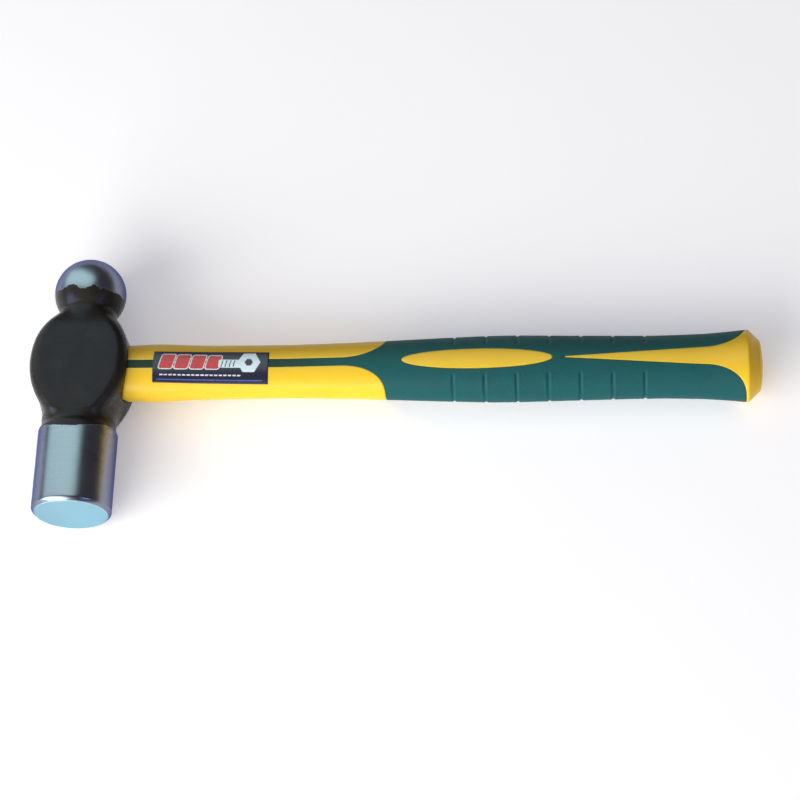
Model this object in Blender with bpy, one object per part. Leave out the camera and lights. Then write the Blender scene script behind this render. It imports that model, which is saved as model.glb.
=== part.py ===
"""Ball peen hammer with a jacketed fibreglass handle, lying on its side.

The shape is laid out in the hammer's own axes, in millimetres: the handle runs along +X from
the eye at the origin, the ball points along +Y and the striking face along -Y, and the cheeks
face +Z and -Z. One empty carries the whole hammer, so that the world origin is the middle of
the underside of the bounding box. Run with: blender --background --python part.py
"""

import math

import bmesh
import bpy
from mathutils import Vector

MM = 0.001
GAP = 0.3               # clearance between neighbouring solids

# Head: driving dimensions
FACE_Y = -73.3          # plane of the striking face
POLL_R = 19.0
FACE_CHAMFER = 1.9
SHOULDER_Y = -32.0      # where the poll reaches its full radius
SHOULDER_DROP = 1.2     # the poll stands this far proud of its neck
POLL_NECK_R = POLL_R - SHOULDER_DROP
BALL_Y = 43.0
BALL_R = 17.4
BALL_NECK_R = 13.6
BODY_Y = 1.6            # middle of the eye body along the head
BODY_HALF_LENGTH = 24.0 # along the handle, at mid height
BODY_ARC_R = 38.5       # side walls are arcs of this radius, seen on the cheek
CHEEK = 17.2            # half the width across the cheeks
CHEEK_FLAT_Y = (-25.0, 13.0)  # the cheeks are flat between these, and fall away beyond
CHEEK_ROUND = 6.0       # radius that joins a cheek to the side walls
POLL_END_SLOPE = 0.8    # towards the poll they fall away straight
BALL_END_CURVE = 0.02   # and towards the ball in a curve
POLL_BLEND = 8.0        # fillets between the side walls and the necks
BALL_BLEND = 5.0
CHEEK_BLEND = 2.5       # fillet between a cheek and the necks
INNER_NECK_R = 12.0     # the necks' radius where the eye body hides them

# Eye: (x, half height along Y, half width along Z); the handle enters from +X
EYE = [(-30, 13.8, 11.0), (-24, 13.4, 10.6), (-4, 12.0, 9.2), (8, 12.0, 9.2), (16, 12.9, 10.1), (30, 15.8, 13.1)]
RESIN_X = (-22.4, 11.3)
DAM_X = (11.6, 14.6)    # soft cord that keeps the liquid resin in the eye while it sets
TENON = (10.2, 7.5)
TENON_X = (-22.0, 14.9)

# Handle: (x, half height along Y, half thickness along Z)
SOCKET = [(15.2, 12.3, 9.5)]
HANDLE = [
    (24, 14.0, 11.3), (36, 14.5, 11.2), (60, 13.6, 10.6), (95, 13.35, 10.2), (122, 13.8, 10.8),
    (150, 14.7, 11.8), (178, 15.8, 12.6), (203, 16.5, 13.0), (240, 15.9, 12.85), (275, 15.4, 12.7),
    (295, 15.9, 12.7), (308, 16.8, 13.2), (318.4, 17.9, 13.9),
]
BUTT_BEVEL = 4.7
BUTT_X = 325.2
ROD = (7.5, 5.5)        # half axes of the fibreglass core
ROD_X = (-21.8, 302.0)

# Grip: a rubber layer let into the jacket, with a stripe that runs on to the head
GRIP_DEPTH = 1.8
STRIPE_X = 22.8
STRIPE_HALF = 2.1
FRONT_END = 147.3       # where the grip's front edge crosses the handle's edge
FRONT_ARC = (21.3, 12.4)
WINDOW_X = 191.0        # oval window in each flank
WINDOW = (35.7, 5.2)
WEDGE_TIP = 227.8
WEDGE_END = 317.2       # where the grip's back edge crosses the handle's edge
WEDGE_ARC = (20.2, 14.0)
WEDGE_HALF = 4.5        # half width of the wedge where its flare starts
GROOVE_FIRST = 179.7
GROOVE_PITCH = 15.05
GROOVES = 7
GROOVE_HALF = 0.8
GROOVE_DEPTH = 0.5
GROOVE_START = 7.4      # the grooves run from this far off the middle of a flank, round the edge

# Label on the upper flank, laid on a little askew
LABEL_MIDDLE = (63.7, -1.5)
LABEL_HALF = (27.8, 7.9)
LABEL_TILT_DEG = -0.9
LABEL_LIFT = 0.3
LABEL_THICK = 0.25

HEAD_SEGMENTS = 48
HANDLE_SEGMENTS = 36
FAR = 40.0              # cutters reach this far, well past any wall

LOWEST_Z = -POLL_R
MIDDLE = Vector(((BUTT_X - BODY_HALF_LENGTH) / 2, (BALL_Y + BALL_R + FACE_Y) / 2, LOWEST_Z))


# ---------------------------------------------------------------- scene and mesh helpers

def clear_scene():
    for obj in list(bpy.data.objects):
        bpy.data.objects.remove(obj, do_unlink=True)


def material(name, color, roughness, metallic=0.0):
    made = bpy.data.materials.new(name)
    made.use_nodes = True
    shader = made.node_tree.nodes["Principled BSDF"]
    shader.inputs["Base Color"].default_value = (*color, 1.0)
    shader.inputs["Roughness"].default_value = roughness
    shader.inputs["Metallic"].default_value = metallic
    return made


def solid(name, rings, parent, look=None, sharp_deg=35.0):
    """A closed solid skinned over rings of points in millimetres; a ring of one point ends it in a tip."""
    bm = bmesh.new()
    loops = [[bm.verts.new(Vector(p) * MM) for p in ring] for ring in rings]
    for a, b in zip(loops, loops[1:]):
        count = max(len(a), len(b))
        for i in range(count):
            j = (i + 1) % count
            corners = [a[i % len(a)], a[j % len(a)], b[j % len(b)], b[i % len(b)]]
            bm.faces.new(list(dict.fromkeys(corners)))
    for end in (loops[0], loops[-1]):
        if len(end) > 1:
            bm.faces.new(end)
    bmesh.ops.recalc_face_normals(bm, faces=bm.faces)
    mesh = bpy.data.meshes.new(name)
    bm.to_mesh(mesh)
    bm.free()
    mesh.shade_smooth()
    mesh.set_sharp_from_angle(angle=math.radians(sharp_deg))
    obj = bpy.data.objects.new(name, mesh)
    bpy.context.scene.collection.objects.link(obj)
    obj.parent = parent
    if look:
        mesh.materials.append(look)
    return obj


def cutter(name, rings, parent):
    obj = solid(name, rings, parent)
    obj.hide_render = True
    obj.display_type = "WIRE"
    return obj


def combine(obj, other, operation):
    step = obj.modifiers.new(f"{operation.lower()} {other.name}", "BOOLEAN")
    step.object = other
    step.operation = operation
    step.solver = "EXACT"


def smooth_value(stations, x, column):
    """A cubic through the stations' values in one column, with slopes that never overshoot."""
    if x <= stations[0][0]:
        return stations[0][column]
    if x >= stations[-1][0]:
        return stations[-1][column]
    xs = [s[0] for s in stations]
    ys = [s[column] for s in stations]
    rise = [(ys[i + 1] - ys[i]) / (xs[i + 1] - xs[i]) for i in range(len(xs) - 1)]
    slopes = [rise[0]]
    for before, after in zip(rise, rise[1:]):
        slopes.append(2 * before * after / (before + after) if before * after > 0 else 0.0)
    slopes.append(rise[-1])
    i = max(k for k in range(len(xs) - 1) if xs[k] <= x)
    span = xs[i + 1] - xs[i]
    t = (x - xs[i]) / span
    return (
        (1 + 2 * t) * (1 - t) ** 2 * ys[i] + t * (1 - t) ** 2 * span * slopes[i]
        + t * t * (3 - 2 * t) * ys[i + 1] + t * t * (t - 1) * span * slopes[i + 1]
    )


def oval_ring(x, half_y, half_z, grow=0.0, segments=HANDLE_SEGMENTS):
    turns = [2 * math.pi * (i + 0.5) / segments for i in range(segments)]
    return [(x, (half_y + grow) * math.cos(t), (half_z + grow) * math.sin(t)) for t in turns]


def oval_rings(stations, grow=0.0):
    return [oval_ring(x, half_y, half_z, grow) for x, half_y, half_z in stations]


def steps(start, end, longest):
    """Evenly spaced values from start to end, no further apart than the longest step."""
    count = max(1, math.ceil(abs(end - start) / longest))
    return [start + (end - start) * i / count for i in range(count + 1)]


# ---------------------------------------------------------------- head

def smooth_max(a, b, blend):
    near = max(blend - abs(a - b), 0.0) / blend
    return max(a, b) + near * near * blend / 4


def neck_radius(y):
    """Radius of the turned shape: poll neck, ball neck, and the part hidden in the eye body."""
    poll_neck = smooth_value([(-26, POLL_NECK_R), (-12, INNER_NECK_R)], y, 1)
    ball_neck = smooth_value([(10, INNER_NECK_R), (24, BALL_NECK_R)], y, 1)
    return poll_neck if y < 0 else ball_neck


def rounded_box_radius(half_length, half_width, corner, turn):
    """Distance from the middle of a rounded rectangle to its outline, in the direction of turn."""
    along, across = abs(math.cos(turn)), abs(math.sin(turn))
    inner_length, inner_width = half_length - corner, half_width - corner
    if across * half_length <= inner_width * along:
        return half_length / along
    if along * half_width <= inner_length * across:
        return half_width / across
    reach = inner_length * along + inner_width * across
    return reach + math.sqrt(max(reach**2 - inner_length**2 - inner_width**2 + corner**2, 0.0))


def head_radius(y, turn):
    """Distance from the head's axis to its skin, for the eye body blended into its necks."""
    neck = neck_radius(y)
    off = abs(y - BODY_Y)
    half_length = math.sqrt(max(BODY_ARC_R**2 - off**2, 0)) - (BODY_ARC_R - BODY_HALF_LENGTH)
    half_width = CHEEK - POLL_END_SLOPE * max(0.0, CHEEK_FLAT_Y[0] - y)
    half_width -= BALL_END_CURVE * max(0.0, y - CHEEK_FLAT_Y[1]) ** 2
    if half_length <= CHEEK_ROUND or half_width <= CHEEK_ROUND:
        return neck
    body = rounded_box_radius(half_length, half_width, CHEEK_ROUND, turn)
    side_blend = POLL_BLEND if y < BODY_Y else BALL_BLEND
    return smooth_max(body, neck, CHEEK_BLEND + (side_blend - CHEEK_BLEND) * math.cos(turn) ** 2)


def round_ring(y, radius):
    turns = [2 * math.pi * i / HEAD_SEGMENTS for i in range(HEAD_SEGMENTS)]
    return [(radius * math.cos(t), y, radius * math.sin(t)) for t in turns]


def body_ring(y):
    turns = [2 * math.pi * i / HEAD_SEGMENTS for i in range(HEAD_SEGMENTS)]
    return [(head_radius(y, t) * math.cos(t), y, head_radius(y, t) * math.sin(t)) for t in turns]


def make_head(parent, look):
    """One forging: striking face and poll, eye body with flat cheeks, ball; and the eye through it."""
    rings = [
        round_ring(FACE_Y, POLL_R - FACE_CHAMFER),
        round_ring(FACE_Y + FACE_CHAMFER, POLL_R),
        round_ring(SHOULDER_Y, POLL_R),
        round_ring(SHOULDER_Y + 2 * SHOULDER_DROP, POLL_NECK_R),
    ]
    ball_start = -math.acos(BALL_NECK_R / BALL_R)
    ball_neck_y = BALL_Y + BALL_R * math.sin(ball_start)
    rings += [body_ring(y) for y in steps(SHOULDER_Y + 2 * SHOULDER_DROP + 1, ball_neck_y, 2.4)]
    for a in steps(ball_start, math.pi / 2, math.radians(9))[1:-1]:
        rings.append(round_ring(BALL_Y + BALL_R * math.sin(a), BALL_R * math.cos(a)))
    rings.append([(0, BALL_Y + BALL_R, 0)])
    head = solid("hammer_head", rings, parent, look)
    combine(head, cutter("eye_cutter", oval_rings(EYE), parent), "DIFFERENCE")
    return head


# ---------------------------------------------------------------- handle

def handle_rings(grow=0.0, first=HANDLE[0][0], last=HANDLE[-1][0], longest=12.0):
    """Rings of the handle's outer surface between two stations, grown or shrunk by an offset."""
    return [
        oval_ring(x, smooth_value(HANDLE, x, 1), smooth_value(HANDLE, x, 2), grow)
        for x in steps(first, last, longest)
    ]


def grip_outline(grow=0.0):
    """Outline of the rubber seen on a flank, as (x, y) points; grow widens the rubber on every side."""
    front_middle = FRONT_END - FRONT_ARC[0]
    wedge_flare = WEDGE_END - WEDGE_ARC[0]
    upper = [(STRIPE_X - grow, STRIPE_HALF + grow)]
    for t in steps(math.pi / 2, 0, math.radians(9)):
        upper.append((
            front_middle + (FRONT_ARC[0] - grow) * math.cos(t),
            STRIPE_HALF + FRONT_ARC[1] - (FRONT_ARC[1] - grow) * math.sin(t),
        ))
    upper += [(FRONT_END - grow, FAR), (WEDGE_END + grow, FAR)]
    for t in steps(0, math.pi / 2, math.radians(9)):
        upper.append((
            wedge_flare + (WEDGE_ARC[0] + grow) * math.cos(t),
            WEDGE_HALF + WEDGE_ARC[1] - (WEDGE_ARC[1] + grow) * math.sin(t),
        ))
    tip = (WEDGE_TIP + grow * 6, 0.0)
    lower = [(x, -y) for x, y in reversed(upper)]
    return upper + [tip] + lower


def prism(outline, reach=FAR):
    """Two rings that carry an outline from well below the handle to well above it."""
    return [[(x, y, z) for x, y in outline] for z in (-reach, reach)]


def window_outline(grow=0.0):
    turns = steps(0, 2 * math.pi, math.radians(10))[:-1]
    return [
        (WINDOW_X + (WINDOW[0] + grow) * math.cos(t), (WINDOW[1] + grow) * math.sin(t)) for t in turns
    ]


def rubber_zone(name, parent, grow):
    """Cutter that holds the grip's share of the handle: its outline with the oval window left out."""
    zone = cutter(name, prism(grip_outline(grow)), parent)
    combine(zone, cutter(f"{name}_window", prism(window_outline(-grow), FAR + 5), parent), "DIFFERENCE")
    return zone


def make_jacket(parent, look):
    """Plastic body: tenon in the eye, handle, raised window and wedge, bevelled butt, bore for the core."""
    last_x, last_y, last_z = HANDLE[-1]
    rings = [oval_ring(x, *TENON) for x in TENON_X] + oval_rings(SOCKET) + handle_rings()
    rings.append(oval_ring(last_x + BUTT_BEVEL, last_y, last_z, -BUTT_BEVEL))
    dome = BUTT_X - last_x - BUTT_BEVEL
    rings.append(oval_ring(BUTT_X - 0.35 * dome, (last_y - BUTT_BEVEL) * 0.6, (last_z - BUTT_BEVEL) * 0.6))
    rings.append([(BUTT_X, 0, 0)])
    jacket = solid("handle_jacket", rings, parent, look)
    seat = cutter("grip_seat", handle_rings(1.0, STRIPE_X - 2, WEDGE_END + 1), parent)
    floor = cutter("seat_floor", handle_rings(-GRIP_DEPTH - GAP, STRIPE_X - 4, WEDGE_END + 3), parent)
    combine(seat, floor, "DIFFERENCE")
    combine(seat, rubber_zone("seat_zone", parent, GAP), "INTERSECT")
    combine(jacket, seat, "DIFFERENCE")
    bore = [oval_ring(x, *ROD, GAP) for x in (TENON_X[0] - 3, ROD_X[1] + GAP)]
    combine(jacket, cutter("core_bore", bore, parent), "DIFFERENCE")
    return jacket


def groove_rings(x, side):
    """A shallow saddle cut across the grip's edge at x, on the ball side (1) or the face side (-1)."""
    edge = smooth_value(HANDLE, x, 1)
    thick = smooth_value(HANDLE, x, 2)
    reach = math.acos(GROOVE_START / edge)
    rings = []
    for t in steps(-reach, reach, math.radians(12)):
        normal = Vector((0, math.cos(t) / edge, math.sin(t) / thick)).normalized()
        bed = Vector((x, edge * math.cos(t), thick * math.sin(t)))
        deep = bed - normal * GROOVE_DEPTH
        high = bed + normal * 1.5
        wide = Vector((GROOVE_HALF + 1.5, 0, 0))
        ring = [deep, high + wide, high - wide]
        rings.append([(p.x, p.y * side, p.z) for p in ring])
    return rings


def make_grip(parent, look):
    """Rubber layer with its stripe, the oval window in each flank, the wedge and the finger grooves."""
    grip = solid("grip_sleeve", handle_rings(0, STRIPE_X - 1, WEDGE_END + 0.5), parent, look)
    inner = cutter("grip_inner", handle_rings(-GRIP_DEPTH, STRIPE_X - 4, WEDGE_END + 3), parent)
    combine(grip, inner, "DIFFERENCE")
    combine(grip, rubber_zone("grip_zone", parent, 0.0), "INTERSECT")
    for number in range(GROOVES):
        x = GROOVE_FIRST + GROOVE_PITCH * number
        for side, word in ((1, "ball"), (-1, "face")):
            groove = cutter(f"groove_{word}_{number + 1}", groove_rings(x, side), parent)
            combine(grip, groove, "DIFFERENCE")
    return grip


def make_core(parent, look):
    rings = [oval_ring(x, *ROD) for x in ROD_X]
    return solid("core_rod", rings, parent, look)


def make_eye_ring(name, span, parent, look):
    """A ring that fills the eye between the head and the tenon, over a span of x."""
    start, end = span
    outer = [
        oval_ring(x, smooth_value(EYE, x, 1), smooth_value(EYE, x, 2), -GAP) for x in steps(start, end, 7)
    ]
    ring = solid(name, outer, parent, look)
    inner = [oval_ring(x, *TENON, GAP) for x in (start - 3, end + 3)]
    combine(ring, cutter(f"{name}_bore", inner, parent), "DIFFERENCE")
    return ring


def make_label(parent, look):
    """Thin printed film wrapped on the upper flank, across the stripe."""
    half_long, half_wide = LABEL_HALF
    cos, sin = math.cos(math.radians(LABEL_TILT_DEG)), math.sin(math.radians(LABEL_TILT_DEG))
    rings = []
    for long in steps(-half_long, half_long, 8):
        under, over = [], []
        for wide in steps(-half_wide, half_wide, 1.6):
            x = LABEL_MIDDLE[0] + long * cos - wide * sin
            y = LABEL_MIDDLE[1] + long * sin + wide * cos
            half_y = smooth_value(HANDLE, x, 1)
            half_z = smooth_value(HANDLE, x, 2)
            turn = math.acos(y / half_y)
            normal = Vector((0, math.cos(turn) / half_y, math.sin(turn) / half_z)).normalized()
            bed = Vector((x, y, half_z * math.sin(turn)))
            under.append(tuple(bed + normal * LABEL_LIFT))
            over.append(tuple(bed + normal * (LABEL_LIFT + LABEL_THICK)))
        rings.append(under + over[::-1])
    return solid("handle_label", rings, parent, look, sharp_deg=50.0)


def main():
    clear_scene()
    steel = material("forged_steel", (0.10, 0.10, 0.11), 0.35, 0.9)
    plastic = material("yellow_plastic", (0.90, 0.66, 0.03), 0.42)
    rubber = material("green_rubber", (0.01, 0.16, 0.15), 0.6)
    fibreglass = material("fibreglass", (0.78, 0.74, 0.58), 0.5)
    epoxy = material("epoxy", (0.10, 0.08, 0.05), 0.3)
    cord = material("sealing_cord", (0.08, 0.08, 0.08), 0.8)
    film = material("label_film", (0.02, 0.02, 0.07), 0.35)

    frame = bpy.data.objects.new("hammer_axes", None)
    bpy.context.scene.collection.objects.link(frame)
    frame.location = -MIDDLE * MM
    make_head(frame, steel)
    make_jacket(frame, plastic)
    make_grip(frame, rubber)
    make_core(frame, fibreglass)
    make_eye_ring("eye_resin", RESIN_X, frame, epoxy)
    make_eye_ring("resin_dam", DAM_X, frame, cord)
    make_label(frame, film)


main()
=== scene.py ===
"""Looks for the ball peen hammer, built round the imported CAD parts.

Meshes are laid out in millimetres in the hammer's own axes: the eye of the head is the origin,
the handle runs along +X, the ball points along +Y and the striking face along -Y.
"""

import math

import bmesh
import bpy
from mathutils import Matrix, Vector


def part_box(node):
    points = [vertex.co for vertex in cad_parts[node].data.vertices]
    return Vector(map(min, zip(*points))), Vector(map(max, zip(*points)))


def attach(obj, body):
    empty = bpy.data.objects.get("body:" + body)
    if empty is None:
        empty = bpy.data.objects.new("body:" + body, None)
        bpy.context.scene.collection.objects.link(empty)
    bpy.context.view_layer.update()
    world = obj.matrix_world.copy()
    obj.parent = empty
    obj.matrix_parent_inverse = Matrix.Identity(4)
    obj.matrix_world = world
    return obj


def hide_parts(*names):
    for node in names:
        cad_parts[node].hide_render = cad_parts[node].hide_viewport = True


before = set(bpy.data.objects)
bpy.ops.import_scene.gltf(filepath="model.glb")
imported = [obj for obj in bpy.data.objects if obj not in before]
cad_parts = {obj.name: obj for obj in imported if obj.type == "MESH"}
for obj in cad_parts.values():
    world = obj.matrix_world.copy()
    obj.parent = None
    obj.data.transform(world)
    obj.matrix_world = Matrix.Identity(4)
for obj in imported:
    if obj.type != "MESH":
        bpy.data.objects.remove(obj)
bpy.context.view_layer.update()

MM = 0.001

# Head
FACE_Y = -73.3
POLL_R = 19.0
FACE_CHAMFER = 1.9
SHOULDER_Y = -32.0
POLL_NECK_R = 17.8
BALL_Y = 43.0
BALL_R = 17.4
BALL_NECK_R = 13.6
BODY_Y = 1.6
BODY_HALF_LENGTH = 23.92
BODY_ARC_R = 38.5
CHEEK = 17.2
CHEEK_FLAT_Y = (-25.0, 13.0)
CHEEK_ROUND = 6.0
POLL_END_SLOPE = 0.8
BALL_END_CURVE = 0.02
POLL_BLEND = 8.0
BALL_BLEND = 5.0
CHEEK_BLEND = 2.5
INNER_NECK_R = 12.0
POLL_PAINT_Y = -30.4    # the paint ends here on the poll's sides
POLL_PAINT_DIP = 4.9    # and this much nearer the face on its top and underside
BALL_PAINT_Y = 39.6     # and here on the ball
EYE = [                 # (x, half width along Y, half height along Z)
    (-30, 13.8, 11.0), (-24, 13.4, 10.6), (-4, 12.0, 9.2), (8, 12.0, 9.2),
    (16, 12.9, 10.1), (30, 15.8, 13.1),
]

# Handle
HANDLE = [              # (x, half height along Y, half thickness along Z)
    (24, 14.0, 11.3), (36, 14.5, 11.2), (60, 13.6, 10.6), (95, 13.35, 10.2), (122, 13.8, 10.8),
    (150, 14.7, 11.8), (178, 15.8, 12.6), (203, 16.5, 13.0), (240, 15.9, 12.85), (275, 15.4, 12.7),
    (295, 15.9, 12.7), (308, 16.8, 13.2), (318.4, 17.9, 13.9),
]
TENON = (10.2, 7.5)
TENON_X = (-22.0, 14.9)
SOCKET = (15.2, 12.3, 9.5)
SOCKET_END = 20
BORE = (7.8, 5.8)
BORE_END = 302.3
BUTT_BEVEL = 4.7
BUTT_X = 325.2
BUTT_SOFTEN = 0.35      # the bevel's two edges are rounded by about this much
SEAT_X = (22.6, 317.7)  # the seat for the rubber, from the eye's mouth

# Grip
GRIP_DEPTH = 1.7
SEAT_CLEARANCE = 0.15   # left under the rubber
STRIPE_X = 22.8
STRIPE_HALF = 2.1
FRONT_END = 147.3
FRONT_ARC = (21.3, 12.4)
WINDOW_X = 191.0
WINDOW = (35.7, 5.2)
WEDGE_TIP = 227.8
WEDGE_END = 317.2
WEDGE_ARC = (20.2, 14.0)
WEDGE_HALF = 4.5
GROOVES = [179.7 + 15.05 * i for i in range(7)]
GROOVE_START = 7.2      # height above or below the middle of a flank
GROOVE_FADE = 1.2
GROOVE_DEPTH = 0.5
GROOVE_WIDTH = 0.62
GROOVE_LIP = (0.06, 1.3, 0.4)   # height, distance from the groove, width
GROOVE_REACH = 1.6
SEAM = 0.03             # each side of the joint line between plastic and rubber
SEAM_ROUND = 0.25
ON_LEVEL = 1e-5         # a stored distance this near a level counts as on it
SNAP = 0.008            # and one this near is moved on to it
FAR_OUTSIDE = -9.0

# Label
LABEL_MIDDLE = (63.7, -1.5)
LABEL_HALF = (27.8, 7.9)
LABEL_TILT_DEG = -0.9
LABEL_LIFT = (0.03, 0.13, 0.15)     # underside, rim and face above the plastic

# Resin
RESIN_X = (-20.1, 11.3)
RESIN_GAP = 0.06

# Floor
FLOOR_HALF = 3.0        # metres
FLOOR_GAP = 0.0002

head_low, head_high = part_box("hammer_head")
ORIGIN = Vector((
    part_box("handle_jacket")[1].x - BUTT_X * MM,
    head_high.y - (BALL_Y + BALL_R) * MM,
    (head_low.z + head_high.z) / 2,
))


# ---------------------------------------------------------------- shapes shared with the CAD

def smooth_value(stations, x, column):
    """A cubic through the stations' values in one column, with slopes that never overshoot."""
    if x <= stations[0][0]:
        return stations[0][column]
    if x >= stations[-1][0]:
        return stations[-1][column]
    xs = [s[0] for s in stations]
    ys = [s[column] for s in stations]
    rise = [(ys[i + 1] - ys[i]) / (xs[i + 1] - xs[i]) for i in range(len(xs) - 1)]
    slopes = [rise[0]]
    for before, after in zip(rise, rise[1:]):
        slopes.append(2 * before * after / (before + after) if before * after > 0 else 0.0)
    slopes.append(rise[-1])
    i = max(k for k in range(len(xs) - 1) if xs[k] <= x)
    span = xs[i + 1] - xs[i]
    t = (x - xs[i]) / span
    return (
        (1 + 2 * t) * (1 - t) ** 2 * ys[i] + t * (1 - t) ** 2 * span * slopes[i]
        + t * t * (3 - 2 * t) * ys[i + 1] + t * t * (t - 1) * span * slopes[i + 1]
    )


def smooth_max(a, b, blend):
    near = max(blend - abs(a - b), 0.0) / blend
    return max(a, b) + near * near * blend / 4


def rounded_box_radius(half_length, half_width, corner, turn):
    along, across = abs(math.cos(turn)), abs(math.sin(turn))
    inner_length, inner_width = half_length - corner, half_width - corner
    if across * half_length <= inner_width * along:
        return half_length / along
    if along * half_width <= inner_length * across:
        return half_width / across
    reach = inner_length * along + inner_width * across
    return reach + math.sqrt(max(reach**2 - inner_length**2 - inner_width**2 + corner**2, 0.0))


def neck_radius(y):
    poll_neck = smooth_value([(-26, POLL_NECK_R), (-12, INNER_NECK_R)], y, 1)
    ball_neck = smooth_value([(10, INNER_NECK_R), (24, BALL_NECK_R)], y, 1)
    return poll_neck if y < 0 else ball_neck


def head_radius(y, turn):
    neck = neck_radius(y)
    off = abs(y - BODY_Y)
    half_length = math.sqrt(max(BODY_ARC_R**2 - off**2, 0)) - (BODY_ARC_R - BODY_HALF_LENGTH)
    half_width = CHEEK - POLL_END_SLOPE * max(0.0, CHEEK_FLAT_Y[0] - y)
    half_width -= BALL_END_CURVE * max(0.0, y - CHEEK_FLAT_Y[1]) ** 2
    if half_length <= CHEEK_ROUND or half_width <= CHEEK_ROUND:
        return neck
    body = rounded_box_radius(half_length, half_width, CHEEK_ROUND, turn)
    side_blend = POLL_BLEND if y < BODY_Y else BALL_BLEND
    return smooth_max(body, neck, CHEEK_BLEND + (side_blend - CHEEK_BLEND) * math.cos(turn) ** 2)


def steps(start, end, longest):
    count = max(1, math.ceil(abs(end - start) / longest))
    return [start + (end - start) * i / count for i in range(count + 1)]


# ---------------------------------------------------------------- mesh helpers

def loft(rings):
    """A bmesh skinned over closed rings in millimetres, capped where the end rings have many points."""
    bm = bmesh.new()
    loops = [[bm.verts.new(p) for p in ring] for ring in rings]
    for a, b in zip(loops, loops[1:]):
        count = max(len(a), len(b))
        for i in range(count):
            j = (i + 1) % count
            corners = [a[i % len(a)], a[j % len(a)], b[j % len(b)], b[i % len(b)]]
            bm.faces.new(list(dict.fromkeys(corners)))
    for end in (loops[0], loops[-1]):
        if len(end) > 1:
            bm.faces.new(end)
    bmesh.ops.recalc_face_normals(bm, faces=bm.faces)
    return bm


def piece(name, bm, materials, node):
    """Turns a bmesh in millimetres into a smooth-shaded piece that stands for a CAD node."""
    bmesh.ops.scale(bm, vec=(MM, MM, MM), verts=bm.verts)
    mesh = bpy.data.meshes.new(name)
    bm.to_mesh(mesh)
    bm.free()
    mesh.shade_smooth()
    for made in materials:
        mesh.materials.append(made)
    obj = bpy.data.objects.new(name, mesh)
    bpy.context.scene.collection.objects.link(obj)
    obj.location = ORIGIN
    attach(obj, "root")
    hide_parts(node)
    return obj


def split_at(bm, field, level):
    """Cuts a bmesh along the line where a per-vertex value crosses a level."""

    def above(v):
        gap = v[field] - level
        return gap if abs(gap) > ON_LEVEL else 0.0

    for v in bm.verts:
        if abs(v[field] - level) < SNAP:
            v[field] = level
    crossed = [f for f in bm.faces if min(map(above, f.verts)) < 0 < max(map(above, f.verts))]
    bmesh.ops.triangulate(bm, faces=[f for f in crossed if len(f.verts) > 3])
    for edge in list(bm.edges):
        a, b = edge.verts
        if above(a) * above(b) < 0:
            _, made = bmesh.utils.edge_split(edge, a, above(a) / (above(a) - above(b)))
            made[field] = level
    for face in list(bm.faces):
        if min(map(above, face.verts)) < 0 < max(map(above, face.verts)):
            on = [v for v in face.verts if above(v) == 0]
            if len(on) == 2:
                bmesh.utils.face_split(face, on[0], on[1])


# ---------------------------------------------------------------- handle surfaces

def handle_size(x):
    """Half height and half thickness of the handle at x, through the bevelled and domed butt."""
    edge, half_y, half_z = HANDLE[-1]
    if x <= edge:
        return smooth_value(HANDLE, x, 1), smooth_value(HANDLE, x, 2)
    drop = min(x - edge, BUTT_BEVEL)
    half_y, half_z = half_y - drop, half_z - drop
    if x > edge + BUTT_BEVEL:
        dome = min((x - edge - BUTT_BEVEL) / (BUTT_X - edge - BUTT_BEVEL), 1.0)
        shrink = math.sqrt(max(1 - dome**2, 0.0))
        half_y, half_z = half_y * shrink, half_z * shrink
    return half_y, half_z


def handle_point(x, turn, depth=0.0):
    half_y, half_z = handle_size(x)
    y, z = half_y * math.cos(turn), half_z * math.sin(turn)
    normal = Vector((0, math.cos(turn) / max(half_y, 1e-6), math.sin(turn) / max(half_z, 1e-6)))
    return Vector((x, y, z)) - normal.normalized() * depth


def ellipse_distance(dx, dy, half_x, half_y):
    """Nearly the distance from an ellipse's outline, negative inside."""
    value = (dx / half_x) ** 2 + (dy / half_y) ** 2
    slope = 2 * math.hypot(dx / half_x**2, dy / half_y**2)
    if slope < 1e-9:
        return -min(half_x, half_y)
    return max((value - 1) / slope, -min(half_x, half_y))


def rubber_distance(x, y):
    """How far (x, y) on a flank lies inside the rubber, in millimetres; negative on the plastic."""
    y = abs(y)
    front_middle = FRONT_END - FRONT_ARC[0]
    front_top = STRIPE_HALF + FRONT_ARC[1]
    if x < front_middle:
        front = STRIPE_HALF - y
    elif y >= front_top:
        front = x - FRONT_END
    else:
        front = ellipse_distance(x - front_middle, front_top - y, *FRONT_ARC)
    flare = WEDGE_END - WEDGE_ARC[0]
    flare_top = WEDGE_HALF + WEDGE_ARC[1]
    if x < WEDGE_TIP:
        back = math.hypot(x - WEDGE_TIP, y)
    elif x < flare:
        back = y - WEDGE_HALF * (x - WEDGE_TIP) / (flare - WEDGE_TIP)
    elif y >= flare_top:
        back = WEDGE_END - x
    else:
        back = -ellipse_distance(x - flare, flare_top - y, *WEDGE_ARC)
    window = ellipse_distance(x - WINDOW_X, y, *WINDOW)
    return min(front, back, window)


def rounded_depth(inside):
    """Depth of a rounded edge at a distance inside the outline."""
    if inside >= SEAM_ROUND:
        return 0.0
    return SEAM_ROUND - math.sqrt(SEAM_ROUND**2 - (SEAM_ROUND - max(inside, 0.0)) ** 2)


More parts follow.
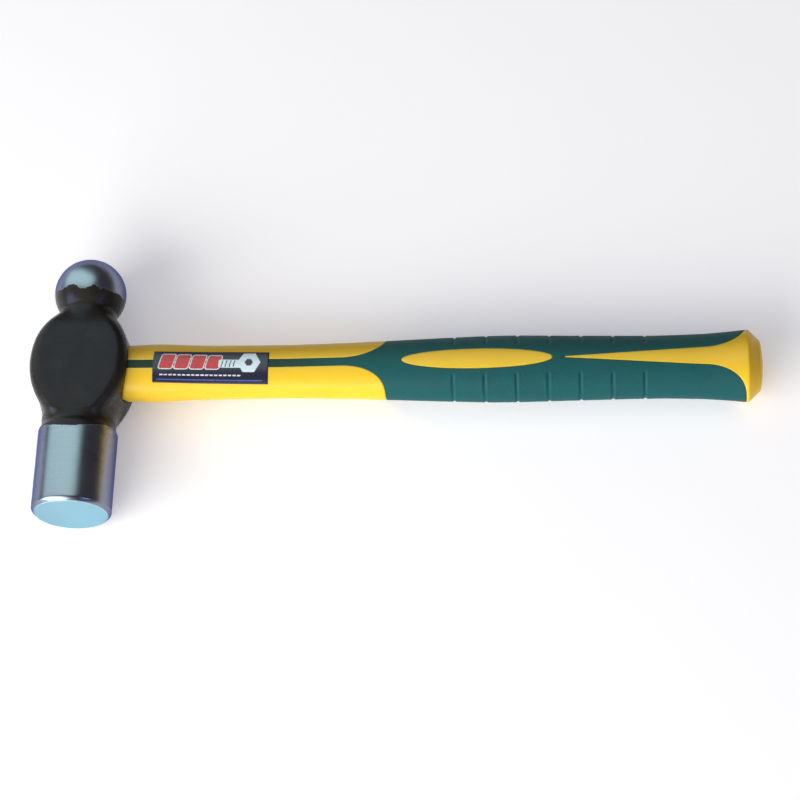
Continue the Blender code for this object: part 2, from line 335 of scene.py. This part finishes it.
def groove_depth(x, y):
    """Depth of the grip's grooves, with a slight lip on both sides of each."""
    near = min(abs(x - g) for g in GROOVES)
    if near > GROOVE_REACH:
        return 0.0
    rise = min(max((abs(y) - GROOVE_START) / GROOVE_FADE, 0.0), 1.0)
    rise = rise * rise * (3 - 2 * rise)
    lip_height, lip_middle, lip_width = GROOVE_LIP
    lip = lip_height * math.exp(-(((near - lip_middle) / lip_width) ** 2))
    return rise * (GROOVE_DEPTH * math.exp(-((near / GROOVE_WIDTH) ** 2)) - lip)


def handle_stations():
    """Ring positions along the handle: close together where the outline and the grooves need it."""
    xs = steps(24, 104, 2.0) + steps(104, 150, 0.8) + steps(150, 317.6, 1.2)
    xs += [g + d for g in GROOVES for d in (-1.7, -1.3, -0.9, -0.6, -0.3, 0, 0.3, 0.6, 0.9, 1.3, 1.7)]
    xs.sort()
    kept = [xs[0]]
    for x in xs[1:]:
        if x - kept[-1] > 0.24:
            kept.append(x)
    return kept


SEGMENTS = 168
TURNS = [2 * math.pi * (i + 0.5) / SEGMENTS for i in range(SEGMENTS)]


def oval(x, half_y, half_z):
    return [(x, half_y * math.cos(t), half_z * math.sin(t)) for t in TURNS]


def mark_field(bm, levels):
    """Stores each vertex's distance inside the rubber and cuts the mesh along the given distances."""
    field = bm.verts.layers.float.new("inside")
    for v in bm.verts:
        v[field] = rubber_distance(v.co.x, v.co.y) if v.co.x > SOCKET_END else FAR_OUTSIDE
    for level in levels:
        split_at(bm, field, level)
    return field


def surface_turn(co):
    half_y, half_z = handle_size(co.x)
    return math.atan2(co.z / half_z, co.y / half_y)


def make_jacket(look):
    """Plastic body with its tenon and bore; the seat under the rubber is sunk into the same surface."""
    edge, half_y, half_z = HANDLE[-1]
    rings = [oval(BORE_END, *BORE), oval(TENON_X[0], *BORE)]
    rings += [oval(TENON_X[0], TENON[0] - 0.6, TENON[1] - 0.6), oval(TENON_X[0] + 0.6, *TENON)]
    rings += [oval(x, *TENON) for x in steps(-16, TENON_X[1], 8)]
    rings += [oval(*SOCKET), oval(SOCKET_END, 13.3, 10.5)]
    for x in [SEAT_X[0], 23.4] + handle_stations():
        rings.append([handle_point(x, t) for t in TURNS])
    rings.append(oval(edge - 0.25, half_y - 0.04, half_z - 0.04))
    rings.append(oval(edge + 0.12, half_y - 0.22, half_z - 0.22))
    for drop in (0.55, 2.0, 3.4, BUTT_BEVEL - BUTT_SOFTEN):
        rings.append(oval(edge + drop, half_y - drop, half_z - drop))
    for dome in (0.1, 0.22, 0.4, 0.6, 0.78, 0.9, 0.97):
        x = edge + BUTT_BEVEL + (BUTT_X - edge - BUTT_BEVEL) * dome
        rings.append(oval(x, *handle_size(x)))
    rings.append([(BUTT_X, 0, 0)])
    bm = loft(rings)
    levels = [-SEAM - SEAM_ROUND, -SEAM - 0.1, -SEAM - 0.03, -SEAM, -SEAM + 0.05]
    field = mark_field(bm, levels)
    for v in bm.verts:
        in_bore = abs(v.co.y / BORE[0]) ** 2 + abs(v.co.z / BORE[1]) ** 2 < 1.02
        if in_bore or not SEAT_X[0] - 0.01 <= v.co.x <= SEAT_X[1]:
            continue
        inside = v[field]
        depth = GRIP_DEPTH + SEAT_CLEARANCE if inside > -SEAM + 0.04 else rounded_depth(-SEAM - inside)
        v.co = handle_point(v.co.x, surface_turn(v.co), depth)
    return piece("jacket_skin", bm, [look], "handle_jacket")


def make_grip(look):
    """Rubber shell with rounded edges, open at its two windows, and grooved on both edges."""
    xs = [STRIPE_X, 23.4] + handle_stations()
    rings = [[handle_point(x, t) for t in TURNS] for x in xs]
    bm = loft(rings)
    bmesh.ops.delete(bm, geom=[f for f in bm.faces if len(f.verts) > 8], context="FACES_ONLY")
    levels = [SEAM, SEAM + 0.03, SEAM + 0.1, SEAM + SEAM_ROUND]
    field = mark_field(bm, levels)
    outside = [f for f in bm.faces if min(v[field] for v in f.verts) < SEAM - ON_LEVEL]
    bmesh.ops.delete(bm, geom=outside, context="FACES")
    top = list(bm.verts)
    edges = [e for e in bm.edges if e.is_boundary]
    rims = [tuple(e.verts) for e in edges]
    under = {}
    for v in top:
        turn = surface_turn(v.co)
        under[v] = bm.verts.new(handle_point(v.co.x, turn, GRIP_DEPTH))
        v.co = handle_point(v.co.x, turn, rounded_depth(v[field] - SEAM) + groove_depth(v.co.x, v.co.y))
    for face in list(bm.faces):
        bm.faces.new([under[v] for v in reversed(face.verts)])
    for a, b in rims:
        bm.faces.new([a, b, under[b], under[a]])
    bmesh.ops.recalc_face_normals(bm, faces=bm.faces)
    return piece("grip_skin", bm, [look], "grip_sleeve")


# ---------------------------------------------------------------- head

HEAD_TURNS = [2 * math.pi * i / 168 for i in range(168)]


def head_ring(y, radius=None):
    if radius is None:
        return [(head_radius(y, t) * math.cos(t), y, head_radius(y, t) * math.sin(t)) for t in HEAD_TURNS]
    return [(radius * math.cos(t), y, radius * math.sin(t)) for t in HEAD_TURNS]


def wall_x(y):
    off = abs(y - BODY_Y)
    return math.sqrt(BODY_ARC_R**2 - off**2) - (BODY_ARC_R - BODY_HALF_LENGTH)


EYE_STEPS = steps(-19, 18.4, 3)


def eye_cutter():
    """The eye with a small chamfer that follows the curved side walls at both mouths."""
    turns = [2 * math.pi * (i + 0.5) / 112 for i in range(112)]
    rings = []
    for out in (3.0, 0.9, 0.0, -0.8):
        rings.append([eye_mouth_point(-1, t, out) for t in turns])
    for x in EYE_STEPS:
        size = smooth_value(EYE, x, 1), smooth_value(EYE, x, 2)
        rings.append([(x, size[0] * math.cos(t), size[1] * math.sin(t)) for t in turns])
    for out in (-0.8, 0.0, 0.9, 3.0):
        rings.append([eye_mouth_point(1, t, out) for t in turns])
    return loft(rings)


def eye_mouth_point(side, turn, out):
    """A point on the flared mouth of the eye, out beyond the head's side wall by a distance."""
    y = smooth_value(EYE, 22 * side, 1) * math.cos(turn)
    x = side * (wall_x(y) + out)
    grow = max(0.0, out + 0.8)
    half_y = smooth_value(EYE, x, 1) + grow
    half_z = smooth_value(EYE, x, 2) + grow
    return (x, half_y * math.cos(turn), half_z * math.sin(turn))


def make_head(look):
    """One forging, ground at the poll and the ball, with the eye cut through it."""
    rings = [[(0, FACE_Y, 0)]]
    rings += [head_ring(FACE_Y, r) for r in (4, 8, 12, 15, 17)]
    rings.append(head_ring(FACE_Y, POLL_R - FACE_CHAMFER - 0.15))
    rings.append(head_ring(FACE_Y + 0.06, POLL_R - FACE_CHAMFER + 0.08))
    rings.append(head_ring(FACE_Y + 0.75, POLL_R - 1.02))
    rings.append(head_ring(FACE_Y + FACE_CHAMFER - 0.3, POLL_R - 0.2))
    rings.append(head_ring(FACE_Y + FACE_CHAMFER + 0.1, POLL_R - 0.04))
    rings.append(head_ring(FACE_Y + FACE_CHAMFER + 0.5, POLL_R))
    rings += [head_ring(y, POLL_R) for y in steps(FACE_Y + 4, SHOULDER_Y - 3, 4)]
    shoulder = SHOULDER_Y + 2 * (POLL_R - POLL_NECK_R)
    rings += [head_ring(SHOULDER_Y - 0.5, POLL_R), head_ring(SHOULDER_Y - 0.1, POLL_R - 0.05)]
    rings.append(head_ring(SHOULDER_Y + 0.4, POLL_R - 0.24))
    rings.append(head_ring(shoulder - 0.5, POLL_NECK_R + 0.24))
    ball_start = -math.acos(BALL_NECK_R / BALL_R)
    ball_neck_y = BALL_Y + BALL_R * math.sin(ball_start)
    rings += [head_ring(y) for y in steps(shoulder + 0.2, ball_neck_y - 0.3, 0.6)]
    crease = ball_start + math.radians(1.5)
    for a in [crease] + steps(ball_start + math.radians(4), math.radians(86), math.radians(2.5)):
        rings.append(head_ring(BALL_Y + BALL_R * math.sin(a), BALL_R * math.cos(a)))
    rings.append([(0, BALL_Y + BALL_R, 0)])
    bm = loft(rings)
    obj = piece("head_skin", bm, [look], "hammer_head")
    cut = eye_cutter()
    bmesh.ops.scale(cut, vec=(MM, MM, MM), verts=cut.verts)
    cut_mesh = bpy.data.meshes.new("eye_cut")
    cut.to_mesh(cut_mesh)
    cut.free()
    cut_obj = bpy.data.objects.new("eye_cut", cut_mesh)
    bpy.context.scene.collection.objects.link(cut_obj)
    cut_obj.location = ORIGIN
    step = obj.modifiers.new("eye", "BOOLEAN")
    step.object = cut_obj
    step.solver = "EXACT"
    bpy.context.view_layer.update()
    shown = obj.evaluated_get(bpy.context.evaluated_depsgraph_get())
    result = bpy.data.meshes.new_from_object(shown)
    obj.modifiers.clear()
    obj.data = result
    obj.data.shade_smooth()
    obj.data.set_sharp_from_angle(angle=math.radians(38))
    bpy.data.objects.remove(cut_obj)
    return obj


def make_resin(look):
    """Epoxy poured round the tenon: a sleeve with a dished top that climbs the wall of the eye."""
    turns = [2 * math.pi * (i + 0.5) / 96 for i in range(96)]
    inner_y, inner_z = TENON[0] + RESIN_GAP, TENON[1] + RESIN_GAP
    top, foot = RESIN_X
    rings = []
    for across in (0, 0.12, 0.3, 0.5, 0.7, 0.85, 0.95, 1.0):
        share = 0.8 + 0.2 * across
        lip = share**6
        ring = []
        for t in turns:
            swell = 0.10 * math.sin(3 * t + 0.7) + 0.06 * math.sin(7 * t + 2.0)
            x = top - 0.5 * lip + swell * (1 - lip) * share
            half_y = inner_y + (smooth_value(EYE, x, 1) - RESIN_GAP - inner_y) * across
            half_z = inner_z + (smooth_value(EYE, x, 2) - RESIN_GAP - inner_z) * across
            ring.append((x, half_y * math.cos(t), half_z * math.sin(t)))
        rings.append(ring)
    for x in [x for x in EYE_STEPS if x < foot] + [foot]:
        half_y, half_z = smooth_value(EYE, x, 1) - RESIN_GAP, smooth_value(EYE, x, 2) - RESIN_GAP
        rings.append([(x, half_y * math.cos(t), half_z * math.sin(t)) for t in turns])
    rings.append([(foot, inner_y * math.cos(t), inner_z * math.sin(t)) for t in turns])
    rings.append(rings[0])
    bm = loft(rings)
    bmesh.ops.delete(bm, geom=[f for f in bm.faces if len(f.verts) > 8], context="FACES_ONLY")
    bmesh.ops.remove_doubles(bm, verts=bm.verts, dist=1e-4)
    bmesh.ops.recalc_face_normals(bm, faces=bm.faces)
    return piece("resin_fill", bm, [look], "eye_resin")


# ---------------------------------------------------------------- label

def box_distance(u, v, mid_u, mid_v, half_u, half_v, corner, slant=0.0):
    """Distance from a rounded, slanted rectangle's outline on the label, positive inside."""
    u = u - mid_u - slant * (v - mid_v)
    du = abs(u) - half_u + corner
    dv = abs(v - mid_v) - half_v + corner
    return corner - math.hypot(max(du, 0), max(dv, 0)) - min(max(du, dv), 0)


def hexagon_distance(u, v, mid_u, mid_v, reach):
    u, v = abs(u - mid_u), abs(v - mid_v)
    return reach - max(v, 0.866 * u + 0.5 * v)


def label_shapes(u, v):
    """(material index, distance inside) for each printed shape, later ones on top."""
    bars = max(
        box_distance(u, v, -21.0 + 7.5 * i, 2.3 - 0.1 * i, 3.15, 3.7 - 0.1 * i, 0.9, 0.22) for i in range(4)
    )
    head = hexagon_distance(u, v, 18.4, 2.1, 4.9)
    shank = box_distance(u, v, 9.6, 1.3, 5.8, 2.1, 0.7)
    bolt = max(head, shank)
    cuts = max(box_distance(u, v, 5.6 + 1.9 * i, 1.3, 0.22, 1.7, 0.1, 0.25) for i in range(4))
    socket = hexagon_distance(u, v, 18.4, 2.1, 2.1)
    dashes = max(box_distance(u, v, -23.6 + 2.2 * i, -4.4, 0.8, 0.34, 0.2) for i in range(18))
    rule = box_distance(u, v, -0.5, -6.5, 25.2, 0.2, 0.1)
    return [
        (1, bars + 0.5), (2, bars), (1, bolt), (3, bolt - 0.4), (0, cuts), (1, socket), (0, socket - 0.4),
        (1, dashes), (4, rule),
    ]


def make_label(looks):
    """Printed film wrapped on the flank, with plain shapes in its colours."""
    half_long, half_wide = LABEL_HALF
    cos, sin = math.cos(math.radians(LABEL_TILT_DEG)), math.sin(math.radians(LABEL_TILT_DEG))
    bm = bmesh.new()
    us, vs = steps(-half_long, half_long, 0.5), steps(-half_wide, half_wide, 0.4)
    grid = [[bm.verts.new((u, v, 0)) for v in vs] for u in us]
    for a, b in zip(grid, grid[1:]):
        for j in range(len(vs) - 1):
            bm.faces.new([a[j], b[j], b[j + 1], a[j + 1]])
    count = len(label_shapes(0, 0))
    for k in range(count):
        field = bm.verts.layers.float.new(f"shape_{k}")
        for v in bm.verts:
            v[field] = label_shapes(v.co.x, v.co.y)[k][1]
        split_at(bm, field, 0.0)
    for face in bm.faces:
        mid = face.calc_center_median()
        for index, inside in label_shapes(mid.x, mid.y):
            if inside > 0:
                face.material_index = index
    rims = [tuple(e.verts) for e in bm.edges if e.is_boundary]
    tops, under = list(bm.verts), {}
    underside, rim, face_lift = LABEL_LIFT
    for v in tops:
        x = LABEL_MIDDLE[0] + v.co.x * cos - v.co.y * sin
        y = LABEL_MIDDLE[1] + v.co.x * sin + v.co.y * cos
        corner = box_distance(v.co.x, v.co.y, 0, 0, half_long, half_wide, 0.8)
        turn = math.acos(y / handle_size(x)[0])
        under[v] = bm.verts.new(handle_point(x, turn, -underside))
        v.co = handle_point(x, turn, -face_lift if corner > 0.2 else -rim)
    for face in list(bm.faces):
        bm.faces.new([under[v] for v in reversed(face.verts)])
    for a, b in rims:
        bm.faces.new([a, b, under[b], under[a]])
    bmesh.ops.recalc_face_normals(bm, faces=bm.faces)
    return piece("label_skin", bm, looks, "handle_label")


# ---------------------------------------------------------------- materials

class Nodes:
    """Builds one material's node tree with short calls; coordinates are in millimetres."""

    def __init__(self, name):
        self.material = bpy.data.materials.new(name)
        self.material.use_nodes = True
        self.tree = self.material.node_tree
        self.shader = self.tree.nodes["Principled BSDF"]
        place = self.tree.nodes.new("ShaderNodeTexCoord")
        self.place = self.mapped(place.outputs["Object"], (1000, 1000, 1000))

    def link(self, source, target):
        if isinstance(source, (int, float)):
            target.default_value = source
        elif isinstance(source, tuple):
            target.default_value = (*source, 1.0)[: len(target.default_value)]
        else:
            self.tree.links.new(source, target)

    def mapped(self, source, scale):
        node = self.tree.nodes.new("ShaderNodeMapping")
        node.inputs["Scale"].default_value = scale
        self.link(source, node.inputs["Vector"])
        return node.outputs["Vector"]

    def noise(self, scale, detail=3.0, rough=0.55, stretch=(1, 1, 1)):
        node = self.tree.nodes.new("ShaderNodeTexNoise")
        self.link(self.mapped(self.place, stretch), node.inputs["Vector"])
        node.inputs["Scale"].default_value = scale
        node.inputs["Detail"].default_value = detail
        node.inputs["Roughness"].default_value = rough
        return node.outputs["Fac"]

    def cells(self, scale, feature="F1"):
        node = self.tree.nodes.new("ShaderNodeTexVoronoi")
        node.feature = feature
        self.link(self.place, node.inputs["Vector"])
        node.inputs["Scale"].default_value = scale
        return node.outputs["Distance"]

    def axis(self, letter):
        node = self.tree.nodes.new("ShaderNodeSeparateXYZ")
        self.link(self.place, node.inputs[0])
        return node.outputs[letter]

    def math(self, operation, *values):
        node = self.tree.nodes.new("ShaderNodeMath")
        node.operation = operation
        for value, target in zip(values, node.inputs):
            self.link(value, target)
        return node.outputs[0]

    def ramp(self, value, low, high, to_low=0.0, to_high=1.0, smooth=True):
        node = self.tree.nodes.new("ShaderNodeMapRange")
        node.interpolation_type = "SMOOTHSTEP" if smooth else "LINEAR"
        self.link(value, node.inputs["Value"])
        for key, number in (("From Min", low), ("From Max", high), ("To Min", to_low), ("To Max", to_high)):
            node.inputs[key].default_value = number
        return node.outputs["Result"]

    def mix(self, share, a, b):
        node = self.tree.nodes.new("ShaderNodeMix")
        node.data_type = "RGBA"
        self.link(share, node.inputs[0])
        self.link(a, node.inputs[6])
        self.link(b, node.inputs[7])
        return node.outputs[2]

    def bump(self, height, distance, strength=1.0, under=None):
        node = self.tree.nodes.new("ShaderNodeBump")
        node.inputs["Distance"].default_value = distance
        node.inputs["Strength"].default_value = strength
        self.link(height, node.inputs["Height"])
        if under:
            self.link(under, node.inputs["Normal"])
        return node.outputs["Normal"]

    def set(self, **values):
        for key, value in values.items():
            self.link(value, self.shader.inputs[key.replace("_", " ")])
        return self.material


def head_look():
    """Black paint on the forging, bare ground steel on the poll and the top of the ball, and a painted pale
    blue reflection of the floor on the striking face.
    """
    n = Nodes("painted_and_ground_steel")
    along = n.axis("Y")
    high = n.math("DIVIDE", n.axis("Z"), POLL_R)
    dip = n.math("MULTIPLY", n.math("MULTIPLY", high, high), POLL_PAINT_DIP)
    wander = n.math("MULTIPLY", n.math("SUBTRACT", n.noise(0.16, 4, 0.65), 0.5), 1.3)
    poll_line = n.math("ADD", n.math("ADD", along, dip), wander)
    wide = n.math("MULTIPLY", n.math("SUBTRACT", n.noise(0.17, 1, 0.5), 0.5), 7.0)
    flakes = n.math("MULTIPLY", n.math("SUBTRACT", n.noise(0.45, 3, 0.6), 0.5), 4.0)
    poll_bare = n.ramp(poll_line, POLL_PAINT_Y + 0.12, POLL_PAINT_Y - 0.12)
    ball_line = n.math("ADD", n.math("ADD", along, wide), flakes)
    ball_bare = n.ramp(ball_line, BALL_PAINT_Y - 0.15, BALL_PAINT_Y + 0.15)
    bare = n.math("MAXIMUM", poll_bare, ball_bare)
    smudge = n.noise(0.09, 5, 0.6)
    lines = n.noise(1.0, 3, 0.6, stretch=(0.03, 9.0, 0.03))
    fine = n.noise(3.2, 4, 0.6)
    peel = n.noise(1.1, 2, 0.5)
    steel = n.mix(smudge, (0.22, 0.235, 0.30), (0.29, 0.31, 0.39))
    steel = n.mix(n.ramp(lines, 0.35, 0.7, 0.0, 0.3), steel, (0.17, 0.18, 0.23))
    # The striking face gets a pale blue base colour. This is a painted reflection of the bright floor in
    # front of it, not a finish of the steel.
    face = n.ramp(along, FACE_Y + 0.6, FACE_Y + 0.2)
    steel = n.mix(face, steel, (0.41, 0.68, 0.72))
    paint = n.mix(n.ramp(smudge, 0.3, 0.7), (0.019, 0.017, 0.013), (0.026, 0.023, 0.017))
    painted = n.math("SUBTRACT", 1.0, bare)
    steel_rough = n.ramp(n.math("ADD", smudge, n.math("MULTIPLY", lines, 0.5)), 0.4, 1.1, 0.25, 0.36)
    paint_rough = n.ramp(n.noise(0.5, 4, 0.6), 0.3, 0.7, 0.24, 0.36)
    rough = n.math("ADD", n.math("MULTIPLY", steel_rough, bare), n.math("MULTIPLY", paint_rough, painted))
    marks = n.math("ADD", lines, n.math("MULTIPLY", fine, 0.3))
    grind = n.bump(n.math("MULTIPLY", marks, bare), 0.00002, 0.5)
    coat = n.bump(n.math("MULTIPLY", peel, painted), 0.00012, 0.35, grind)
    edge = n.bump(painted, 0.00008, 0.8, coat)
    n.set(Base_Color=n.mix(bare, paint, steel), Metallic=bare, Roughness=rough, Normal=edge)
    n.shader.inputs["Specular IOR Level"].default_value = 0.28
    n.shader.inputs["Specular Tint"].default_value = (0.31, 0.33, 0.60, 1.0)
    around = n.tree.nodes.new("ShaderNodeTangent")
    around.direction_type = "RADIAL"
    around.axis = "Y"
    n.link(around.outputs[0], n.shader.inputs["Tangent"])
    n.shader.inputs["Anisotropic"].default_value = 0.3
    n.shader.inputs["Anisotropic Rotation"].default_value = 0.25
    return n.material


def plastic_look():
    """Glossy yellow moulding with faint flow marks and a little grime."""
    n = Nodes("yellow_moulding")
    flow = n.noise(0.05, 4, 0.6, stretch=(0.3, 1, 1))
    speck = n.noise(2.2, 3, 0.6)
    color = n.mix(flow, (0.90, 0.55, 0.020), (0.95, 0.62, 0.028))
    color = n.mix(n.ramp(speck, 0.66, 0.8, 0.0, 0.25), color, (0.62, 0.36, 0.02))
    rough = n.ramp(n.noise(0.35, 4, 0.6), 0.3, 0.7, 0.32, 0.46)
    skin = n.bump(n.math("ADD", n.noise(0.7, 2), n.math("MULTIPLY", speck, 0.35)), 0.00010, 0.30)
    n.set(Base_Color=color, Roughness=rough, Normal=skin)
    n.shader.inputs["Specular IOR Level"].default_value = 0.32
    n.shader.inputs["Subsurface Weight"].default_value = 0.25
    n.shader.inputs["Subsurface Radius"].default_value = (1.0, 0.35, 0.05)
    n.shader.inputs["Subsurface Scale"].default_value = 0.006
    return n.material


def rubber_look():
    """Matt teal rubber with a fine leathery grain and faint scuffs."""
    n = Nodes("green_grip")
    cloud = n.noise(0.12, 5, 0.65)
    grain = n.noise(2.6, 4, 0.65)
    cell = n.cells(1.3)
    color = n.mix(cloud, (0.002, 0.066, 0.074), (0.003, 0.112, 0.117))
    color = n.mix(n.ramp(grain, 0.55, 0.8, 0.0, 0.35), color, (0.006, 0.170, 0.165))
    thin = n.ramp(n.axis("X"), STRIPE_X + 60, FRONT_END - 8, 1.0, 0.0)
    color = n.mix(n.math("MULTIPLY", thin, 0.9), color, (0.012, 0.035, 0.018))
    rough = n.ramp(n.math("ADD", cloud, grain), 0.7, 1.3, 0.5, 0.72)
    skin = n.bump(n.math("ADD", grain, n.math("MULTIPLY", cell, 0.8)), 0.00022, 0.45)
    n.shader.inputs["Specular IOR Level"].default_value = 0.25
    return n.set(Base_Color=color, Roughness=rough, Normal=skin)


def print_look(name, dark, light, rough=0.3):
    """Gloss print on film, slightly mottled as ink is."""
    n = Nodes(name)
    mottle = n.noise(0.9, 4, 0.7)
    wear = n.noise(4.5, 3, 0.6)
    color = n.mix(n.ramp(mottle, 0.3, 0.7), dark, light)
    gloss = n.ramp(wear, 0.3, 0.7, rough - 0.06, rough + 0.1)
    return n.set(Base_Color=color, Roughness=gloss, Normal=n.bump(mottle, 0.00004, 0.4))


def resin_look():
    """Brown cast resin with a few bubbles."""
    n = Nodes("cured_epoxy")
    cloud = n.noise(0.25, 4, 0.6)
    bubbles = n.ramp(n.cells(0.9), 0.12, 0.2, 1.0, 0.0)
    color = n.mix(cloud, (0.10, 0.055, 0.020), (0.22, 0.13, 0.05))
    color = n.mix(n.math("MULTIPLY", bubbles, 0.6), color, (0.35, 0.27, 0.16))
    rough = n.ramp(cloud, 0.3, 0.7, 0.10, 0.22)
    skin = n.bump(n.math("ADD", cloud, bubbles), 0.00025, 0.5)
    n.set(Base_Color=color, Roughness=rough, Normal=skin)
    n.shader.inputs["Coat Weight"].default_value = 0.5
    return n.material


def glass_fibre_look():
    """Pale glass strands along the rod."""
    n = Nodes("glass_fibre_core")
    strands = n.noise(1.0, 4, 0.7, stretch=(0.05, 5, 5))
    color = n.mix(strands, (0.55, 0.50, 0.33), (0.85, 0.82, 0.66))
    rough = n.ramp(strands, 0.3, 0.7, 0.35, 0.6)
    return n.set(Base_Color=color, Roughness=rough, Normal=n.bump(strands, 0.0001, 0.5))


def cord_look():
    """Dark foam cord."""
    n = Nodes("dam_cord")
    weave = n.noise(1.6, 4, 0.7)
    color = n.mix(weave, (0.03, 0.03, 0.032), (0.09, 0.09, 0.095))
    rough = n.ramp(weave, 0.3, 0.7, 0.75, 0.95)
    return n.set(Base_Color=color, Roughness=rough, Normal=n.bump(weave, 0.0002, 0.8))


def floor_look():
    """Matt near-white floor that gives off a little light, so that it shows white round the hammer."""
    n = Nodes("pale_floor")
    cloud = n.noise(0.01, 3, 0.5)
    color = n.mix(cloud, (0.90, 0.90, 0.90), (0.92, 0.92, 0.92))
    n.shader.inputs["Emission Color"].default_value = (0.88, 0.89, 1.0, 1.0)
    n.shader.inputs["Emission Strength"].default_value = 0.30
    return n.set(Base_Color=color, Roughness=0.9)


# ---------------------------------------------------------------- build

make_head(head_look())
make_jacket(plastic_look())
make_grip(rubber_look())
make_resin(resin_look())
make_label([
    print_look("label_ground", (0.010, 0.009, 0.030), (0.020, 0.018, 0.055)),
    print_look("label_keyline", (0.62, 0.64, 0.70), (0.80, 0.82, 0.86)),
    print_look("label_red", (0.45, 0.012, 0.030), (0.62, 0.030, 0.050)),
    print_look("label_pale_blue", (0.60, 0.80, 0.93), (0.74, 0.90, 0.98)),
    print_look("label_rule", (0.05, 0.10, 0.42), (0.09, 0.16, 0.55)),
])
for node, look in (("core_rod", glass_fibre_look()), ("resin_dam", cord_look())):
    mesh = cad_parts[node].data
    mesh.materials.clear()
    mesh.materials.append(look)


# ---------------------------------------------------------------- floor, lights, camera

def make_floor(look):
    """A pale floor that the poll and the butt both touch."""
    poll_x, butt_x = ORIGIN.x, ORIGIN.x + HANDLE[-1][0] * MM
    rise = (POLL_R - HANDLE[-1][2]) * MM / (butt_x - poll_x)
    mesh = bpy.data.meshes.new("floor")
    lowest = ORIGIN.z - POLL_R * MM - FLOOR_GAP
    corners = [(-1, -1), (1, -1), (1, 1), (-1, 1)]
    spread = [(FLOOR_HALF * i, FLOOR_HALF * j) for i, j in corners]
    verts = [(x, y, lowest + rise * (x - poll_x)) for x, y in spread]
    mesh.from_pydata(verts, [], [(0, 1, 2, 3)])
    mesh.materials.append(look)
    floor = bpy.data.objects.new("floor", mesh)
    bpy.context.scene.collection.objects.link(floor)


def set_axes(obj, x_axis, y_axis, z_axis, place):
    """Puts an object at a place, with its own axes along three unit vectors."""
    columns = (x_axis, y_axis, z_axis, place)
    obj.matrix_world = Matrix([[column[i] for column in columns] for i in range(3)] + [[0, 0, 0, 1]])


def area_light(name, direction, distance, long_axis, size, strength, color, seen_by=("diffuse", "glossy")):
    """A rectangular light of a given radiance, in a direction from the hammer, size[0] along long_axis."""
    away = Vector(direction).normalized()
    across = Vector(long_axis)
    across = (across - away * across.dot(away)).normalized()
    rise = away.cross(across)
    light = bpy.data.lights.new(name, "AREA")
    light.shape = "RECTANGLE"
    light.size, light.size_y = size
    light.energy = strength * math.pi * size[0] * size[1]
    light.color = color
    obj = bpy.data.objects.new(name, light)
    set_axes(obj, across, rise, away, away * distance + Vector((0, 0, 0.02)))
    obj.visible_diffuse = "diffuse" in seen_by
    obj.visible_glossy = "glossy" in seen_by
    bpy.context.scene.collection.objects.link(obj)


make_floor(floor_look())
area_light("key", (-0.64, -0.68, 0.38), 1.7, (1, -1, 0), (2.0, 1.0), 6.9, (1.0, 0.99, 0.95))
area_light("fill", (0.0, -0.25, 1.0), 1.5, (1, 0, 0), (2.6, 2.6), 0.56, (0.95, 0.95, 1.0), ("diffuse",))
# The cards only show as reflections, in the steel above all.
area_light(
    "back_card", (-0.59, 0.66, 0.935), 1.30, (0.77, -0.22, 0.63), (2.4, 1.2),
    1.95, (0.72, 1.0, 0.88), ("glossy",),
)
area_light(
    "left_card", (-0.92, -0.14, 0.36), 1.3, (0, 0, 1), (0.6, 0.3),
    3.0, (0.30, 0.85, 1.0), ("glossy",),
)
area_light(
    "right_card", (0.64, -0.53, 0.56), 1.3, (1, 1, 0), (0.7, 0.2),
    6.0, (0.25, 0.5, 1.0), ("glossy",),
)

# The hammer is lit by a dim, warm room; looking past the floor's edge shows a pale backdrop.
world = bpy.data.worlds.new("studio")
world.use_nodes = True
tree = world.node_tree
surroundings = tree.nodes["Background"]
surroundings.inputs["Color"].default_value = (1.0, 0.86, 0.78, 1.0)
surroundings.inputs["Strength"].default_value = 0.085
backdrop = tree.nodes.new("ShaderNodeBackground")
backdrop.inputs["Color"].default_value = (0.90, 0.90, 0.93, 1.0)
seen = tree.nodes.new("ShaderNodeLightPath")
either = tree.nodes.new("ShaderNodeMixShader")
tree.links.new(seen.outputs["Is Camera Ray"], either.inputs[0])
tree.links.new(surroundings.outputs[0], either.inputs[1])
tree.links.new(backdrop.outputs[0], either.inputs[2])
tree.links.new(either.outputs[0], tree.nodes["World Output"].inputs["Surface"])
bpy.context.scene.world = world
bpy.context.scene.view_settings.view_transform = "Standard"

camera = bpy.data.cameras.new("camera")
camera.lens = 110.8
camera.sensor_width = 36.0
camera_obj = bpy.data.objects.new("camera", camera)
camera_right = Vector((0.99563, 0.02849, -0.08895))
camera_up = Vector((0.01153, 0.90758, 0.41973))
camera_back = Vector((0.09269, -0.41892, 0.90328))
camera_place = ORIGIN + Vector((262.41, -505.50, 1056.24)) * MM
set_axes(camera_obj, camera_right, camera_up, camera_back, camera_place)
bpy.context.scene.collection.objects.link(camera_obj)
bpy.context.scene.camera = camera_obj
